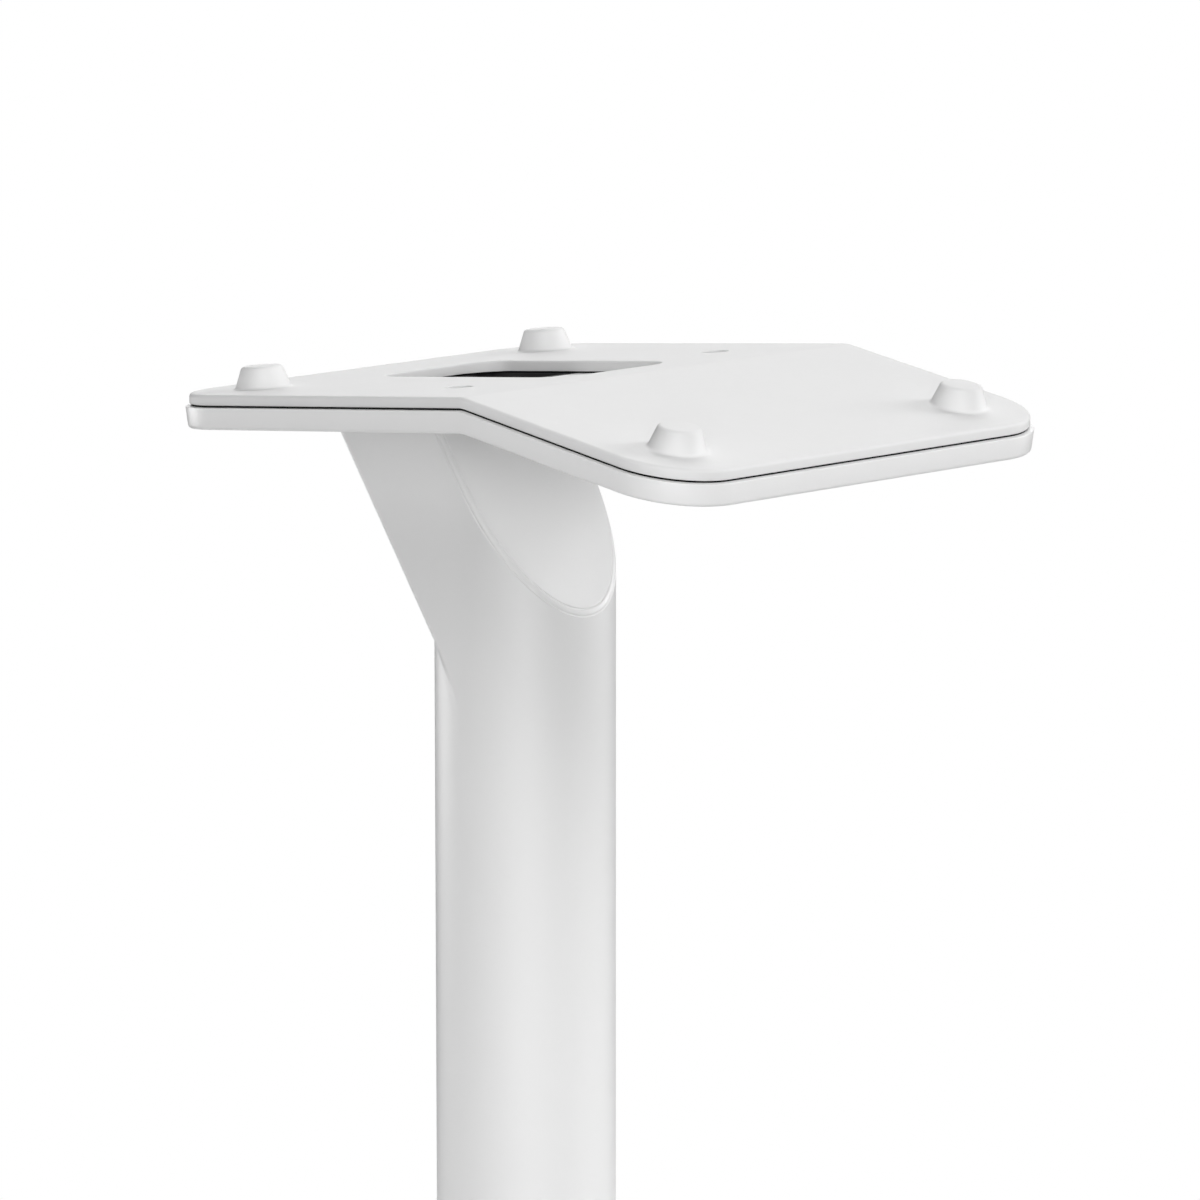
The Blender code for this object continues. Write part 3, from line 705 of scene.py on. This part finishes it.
def make_screws():
    """Each screw stands for the CAD node of its name, with _skin left off."""
    screws = []
    for side, x in (("left", -1), ("right", 1)):
        for row, further in (("front", 0), ("rear", 1)):
            centre = PLATE_SCREWS[(0 if x < 0 else 2) + further]
            height = fold_height(centre[1]) + PLATE_TOP - GAP
            place = Matrix.Translation((*centre, height)) @ Matrix.Rotation(-REAR_FALL, 4, "X")
            screws.append(make_screw(f"plate_screw_{row}_{side}_skin", PLATE_SCREW_SIZES, place))
    for number, centre in enumerate(FOOT_BOLTS):
        place = Matrix.Translation((*centre, BASE_LOW.z + GAP)) @ Matrix.Rotation(pi, 4, "X")
        screws.append(make_screw(f"foot_bolt_{number + 1}_skin", FOOT_BOLT_SIZES, place))
    return screws


# ---------------------------------------------------------------- materials
def new_material(name, colour, roughness, metallic=0.0):
    """A Principled material, with object coordinates ready for its texture nodes."""
    material = bpy.data.materials.new(name)
    material.use_nodes = True
    nodes = material.node_tree.nodes
    shader = nodes["Principled BSDF"]
    shader.inputs["Base Color"].default_value = (*colour, 1)
    shader.inputs["Roughness"].default_value = roughness
    shader.inputs["Metallic"].default_value = metallic
    place = nodes.new("ShaderNodeTexCoord").outputs["Object"]
    return material, shader, place


def noise(material, place, size, detail=2.0, roughness=0.5):
    """Noise whose features are about this size, from 0 to 1."""
    texture = material.node_tree.nodes.new("ShaderNodeTexNoise")
    texture.inputs["Scale"].default_value = 1 / size
    texture.inputs["Detail"].default_value = detail
    texture.inputs["Roughness"].default_value = roughness
    material.node_tree.links.new(place, texture.inputs["Vector"])
    return texture.outputs["Fac"]


def spread(material, value, low, high):
    """The value's middle range, stretched between two levels."""
    node = material.node_tree.nodes.new("ShaderNodeMapRange")
    node.inputs["From Min"].default_value = 0.25
    node.inputs["From Max"].default_value = 0.75
    node.inputs["To Min"].default_value = low
    node.inputs["To Max"].default_value = high
    material.node_tree.links.new(value, node.inputs["Value"])
    return node.outputs["Result"]


def tint(material, shader, value, dark, light):
    """Base colour between two tones."""
    ramp = material.node_tree.nodes.new("ShaderNodeValToRGB")
    ramp.color_ramp.elements[0].position = 0.3
    ramp.color_ramp.elements[0].color = (*dark, 1)
    ramp.color_ramp.elements[1].position = 0.7
    ramp.color_ramp.elements[1].color = (*light, 1)
    material.node_tree.links.new(value, ramp.inputs["Fac"])
    material.node_tree.links.new(ramp.outputs["Color"], shader.inputs["Base Color"])


def bump(material, shader, layers):
    """Relief from several (height from 0 to 1, depth in metres) layers."""
    links = material.node_tree.links
    below = None
    for height, depth in layers:
        node = material.node_tree.nodes.new("ShaderNodeBump")
        node.inputs["Strength"].default_value = 1.0
        node.inputs["Distance"].default_value = depth
        links.new(height, node.inputs["Height"])
        if below is not None:
            links.new(below, node.inputs["Normal"])
        below = node.outputs["Normal"]
    links.new(below, shader.inputs["Normal"])


def powder_coat():
    """White fine-textured powder coat: a low orange peel under a finer grain."""
    material, shader, place = new_material("white_powder_coat", COAT_COLOUR, COAT_ROUGHNESS)
    peel = noise(material, place, 0.0016)
    grain = noise(material, place, 0.0004, detail=3)
    cloud = noise(material, place, 0.030, detail=3)
    tint(material, shader, cloud, tuple(c * 0.993 for c in COAT_COLOUR), COAT_COLOUR)
    links = material.node_tree.links
    links.new(spread(material, grain, COAT_ROUGHNESS - 0.03, COAT_ROUGHNESS + 0.03),
              shader.inputs["Roughness"])
    bump(material, shader, ((peel, 0.000010), (grain, 0.000008)))
    return material


def silicone():
    """Off-white soft pad: matte, with the fine grain of a blasted mould."""
    material, shader, place = new_material("off_white_silicone", PAD_COLOUR, PAD_ROUGHNESS)
    grain = noise(material, place, 0.00035, detail=4, roughness=0.6)
    mottle = noise(material, place, 0.0022, detail=3)
    cloud = noise(material, place, 0.018, detail=3)
    tint(material, shader, cloud, tuple(c * 0.99 for c in PAD_COLOUR), PAD_COLOUR)
    links = material.node_tree.links
    links.new(spread(material, mottle, PAD_ROUGHNESS - 0.04, PAD_ROUGHNESS + 0.04),
              shader.inputs["Roughness"])
    bump(material, shader, ((mottle, 0.000012), (grain, 0.000016)))
    return material


def black_foam():
    """The adhesive sheet's foam: black, with fine open cells."""
    material, shader, place = new_material("black_foam_tape", (0.002, 0.002, 0.002), 0.95)
    cells = noise(material, place, 0.00025, detail=2)
    tint(material, shader, cells, (0.001, 0.001, 0.001), (0.004, 0.004, 0.004))
    bump(material, shader, ((cells, 0.00004),))
    return material


def black_rubber():
    """Moulded rubber: charcoal, dull, with a fine bloom."""
    material, shader, place = new_material("black_rubber", (0.012, 0.012, 0.013), 0.62)
    grain = noise(material, place, 0.0005, detail=3)
    bloom = noise(material, place, 0.010, detail=4)
    tint(material, shader, bloom, (0.009, 0.009, 0.010), (0.018, 0.018, 0.019))
    links = material.node_tree.links
    links.new(spread(material, bloom, 0.55, 0.72), shader.inputs["Roughness"])
    bump(material, shader, ((grain, 0.00003),))
    return material


def steel(name, dark, light, roughness):
    """Steel with turning marks: noise that is drawn out around the piece's length."""
    material, shader, place = new_material(name, light, roughness, 1.0)
    stretch = material.node_tree.nodes.new("ShaderNodeMapping")
    stretch.inputs["Scale"].default_value = (0.15, 0.15, 1.0)
    material.node_tree.links.new(place, stretch.inputs["Vector"])
    marks = noise(material, stretch.outputs["Vector"], 0.00022, detail=3)
    stain = noise(material, place, 0.004, detail=3)
    tint(material, shader, stain, dark, light)
    material.node_tree.links.new(spread(material, marks, roughness - 0.08, roughness + 0.10),
                                 shader.inputs["Roughness"])
    bump(material, shader, ((marks, 0.000012),))
    return material


# ---------------------------------------------------------------- the stand
def place_piece(piece, nodes, material):
    """Finish a piece that stands for these CAD nodes."""
    piece.data.materials.clear()
    piece.data.materials.append(material)
    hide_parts(*nodes)
    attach(piece, "root")


def make_stand():
    """Every piece of the stand, with its material. The plug is the CAD's own."""
    coat = powder_coat()
    rubber = black_rubber()
    plain_steel = steel("plain_steel", (0.42, 0.42, 0.41), (0.56, 0.56, 0.55), 0.38)
    black_steel = steel("blackened_steel", (0.030, 0.030, 0.032), (0.060, 0.060, 0.062), 0.42)
    neck_nodes = ("pole_tube", "neck_cheek_left", "neck_cheek_right", "neck_rear_wall",
                  "neck_front_wall")
    for piece, nodes, slot, material in (
            (make_pad(), ("device_pad",), "silicone", silicone()),
            (make_adhesive(), ("pad_adhesive",), "black_foam", black_foam()),
            (make_plate(), ("top_plate",), "powder_coat", coat),
            (make_cable_liner(), ("entry_grommet",), "black_rubber", rubber),
            (make_flange(), ("neck_flange",), "powder_coat", coat),
            (make_pole_and_neck(), neck_nodes, "powder_coat", coat),
            (make_base(), ("base_plate",), "powder_coat", coat),
            (make_base_sheet(), ("base_sheet",), "black_rubber", rubber),
            (make_exit_sleeve(), ("exit_grommet",), "black_rubber", rubber)):
        place_piece(piece, nodes, material)
    for screw in make_screws():
        on_plate = screw.name.startswith("plate")
        place_piece(screw, (screw.name.removesuffix("_skin"),),
                    black_steel if on_plate else plain_steel)
    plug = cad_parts["foot_plug"]
    plug.data.materials.clear()
    plug.data.materials.append(plain_steel)


# ---------------------------------------------------------------- floor, light and camera
def make_floor():
    """A pale floor with the stand's shadow near its base. Towards its rim it glows with painted
    light, so that it fades into the white studio.
    """
    shape = bmesh.new()
    bmesh.ops.create_circle(shape, cap_ends=True, segments=96, radius=FLOOR_RADIUS)
    floor = finish_mesh("floor", shape)
    material, shader, place = new_material("floor_paper", (0.80, 0.80, 0.80), 0.9)
    fibres = noise(material, place, 0.004, detail=4)
    tint(material, shader, fibres, (0.795, 0.795, 0.795), (0.805, 0.805, 0.805))
    shader.inputs["Specular IOR Level"].default_value = 0.0
    shader.inputs["Emission Color"].default_value = (1, 1, 1, 1)
    nodes, links = material.node_tree.nodes, material.node_tree.links
    distance = nodes.new("ShaderNodeVectorMath")
    distance.operation = "LENGTH"
    links.new(place, distance.inputs[0])
    # Painted light: the floor's emission rises from none near the stand to its full glow at the rim.
    glow_ramp = nodes.new("ShaderNodeMapRange")
    glow_ramp.interpolation_type = "SMOOTHSTEP"
    glow_ramp.inputs["From Min"].default_value = FLOOR_GLOW_RAMP[0]
    glow_ramp.inputs["From Max"].default_value = FLOOR_GLOW_RAMP[1]
    glow_ramp.inputs["To Min"].default_value = 0.0
    glow_ramp.inputs["To Max"].default_value = FLOOR_GLOW
    links.new(distance.outputs["Value"], glow_ramp.inputs["Value"])
    links.new(glow_ramp.outputs["Result"], shader.inputs["Emission Strength"])
    floor.data.materials.append(material)


def view_direction(turn, rise):
    """From the stand towards a light: turn is right of the camera, as the camera sees it."""
    azimuth = radians(CAMERA_AZIMUTH + turn)
    return Vector((sin(azimuth) * cos(radians(rise)), -cos(azimuth) * cos(radians(rise)),
                   sin(radians(rise))))


def make_softbox(name, turn, rise, distance, width, height, level):
    """A rectangular light that looks this bright, whatever its size."""
    light = bpy.data.lights.new(name, "AREA")
    light.shape = "RECTANGLE"
    light.size = width
    light.size_y = height
    light.energy = level * width * height * pi
    lamp = bpy.data.objects.new(name, light)
    lamp.visible_camera = False
    bpy.context.scene.collection.objects.link(lamp)
    way = view_direction(turn, rise)
    lamp.location = Vector((0, 0, LIT_HEIGHT)) + way * distance
    lamp.rotation_euler = way.to_track_quat("Z", "Y").to_euler()


def make_world():
    """A studio that looks white and leaves all the lighting to its softboxes."""
    world = bpy.data.worlds.new("studio")
    bpy.context.scene.world = world
    world.use_nodes = True
    nodes, links = world.node_tree.nodes, world.node_tree.links
    studio = nodes["Background"]
    studio.inputs["Color"].default_value = (1, 1, 1, 1)
    links.new(nodes.new("ShaderNodeLightPath").outputs["Is Camera Ray"],
              studio.inputs["Strength"])


def make_camera():
    """A long lens that looks at the head from the left front, and a little down."""
    back = view_direction(0, CAMERA_ELEVATION)
    right = Vector((cos(radians(CAMERA_AZIMUTH)), sin(radians(CAMERA_AZIMUTH)), 0))
    up = back.cross(right)
    data = bpy.data.cameras.new("camera")
    data.lens = CAMERA_LENS
    data.sensor_width = CAMERA_SENSOR
    camera = bpy.data.objects.new("camera", data)
    bpy.context.scene.collection.objects.link(camera)
    place = (Vector((0, 0, RIDGE_Z)) + CAMERA_RIGHT * right + CAMERA_UP * up
             + CAMERA_DISTANCE * back)
    camera.matrix_world = (Matrix.Translation(place)
                           @ Matrix((right, up, back)).transposed().to_4x4())
    bpy.context.scene.camera = camera


make_stand()
make_floor()
make_world()
for softbox in SOFTBOXES:
    make_softbox(*softbox)
make_camera()
bpy.context.scene.view_settings.view_transform = "Standard"

bpy.context.view_layer.update()
